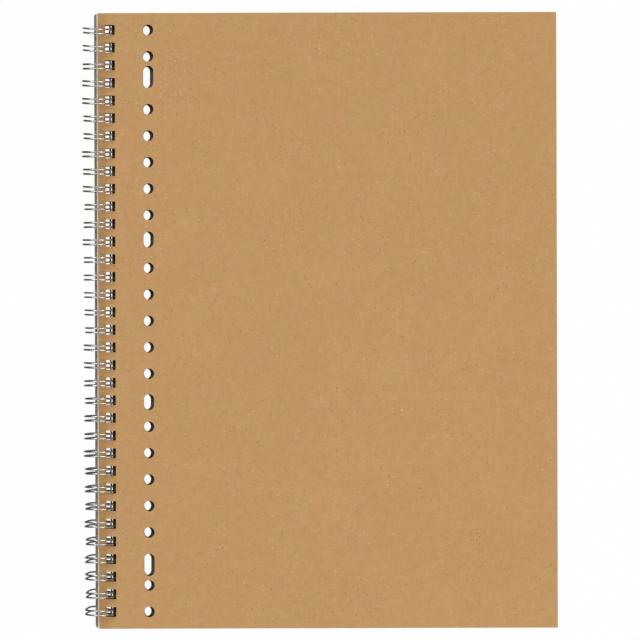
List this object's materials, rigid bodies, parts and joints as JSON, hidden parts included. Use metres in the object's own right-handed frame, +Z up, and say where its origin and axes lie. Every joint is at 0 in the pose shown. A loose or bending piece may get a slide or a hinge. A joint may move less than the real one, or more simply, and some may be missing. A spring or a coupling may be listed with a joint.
{
  "type": "spiral notebook",
  "caption": "Wire-bound writing pad with a plain kraft card cover, punched sheets with filing holes and a stiff grey back board.",
  "frame": {"origin": "middle of the foot of the whole notebook's box, where the wire rings touch the table", "axes": "+X from the wire to the fore-edge, +Y to the head of the page, +Z up out of the front cover"},
  "size_m": [0.2278, 0.2956, 0.0151],
  "materials": {
    "kraft_card": "matt uncoated kraft card",
    "white_paper": "uncoated white writing paper",
    "grey_board": "matt grey board",
    "silver_wire": "satin silver steel wire"
  },
  "bodies": {
    "base": {"back_cover": "grey_board", "binding_wire": "silver_wire"},
    "pages": {"page_block": "white_paper"},
    "front": {"front_cover": "kraft_card"}
  },
  "joints": [
    {"name": "page_turn", "type": "hinge", "parent": "base", "child": "pages", "pos_m": [-0.10635, 0, 0.00755], "axis": [0, -1, 0], "range_deg": [0, 180]},
    {"name": "cover_turn", "type": "hinge", "parent": "pages", "child": "front", "pos_m": [-0.1068, 0, 0.00835], "axis": [0, -1, 0], "range_deg": [0, 180]}
  ]
}
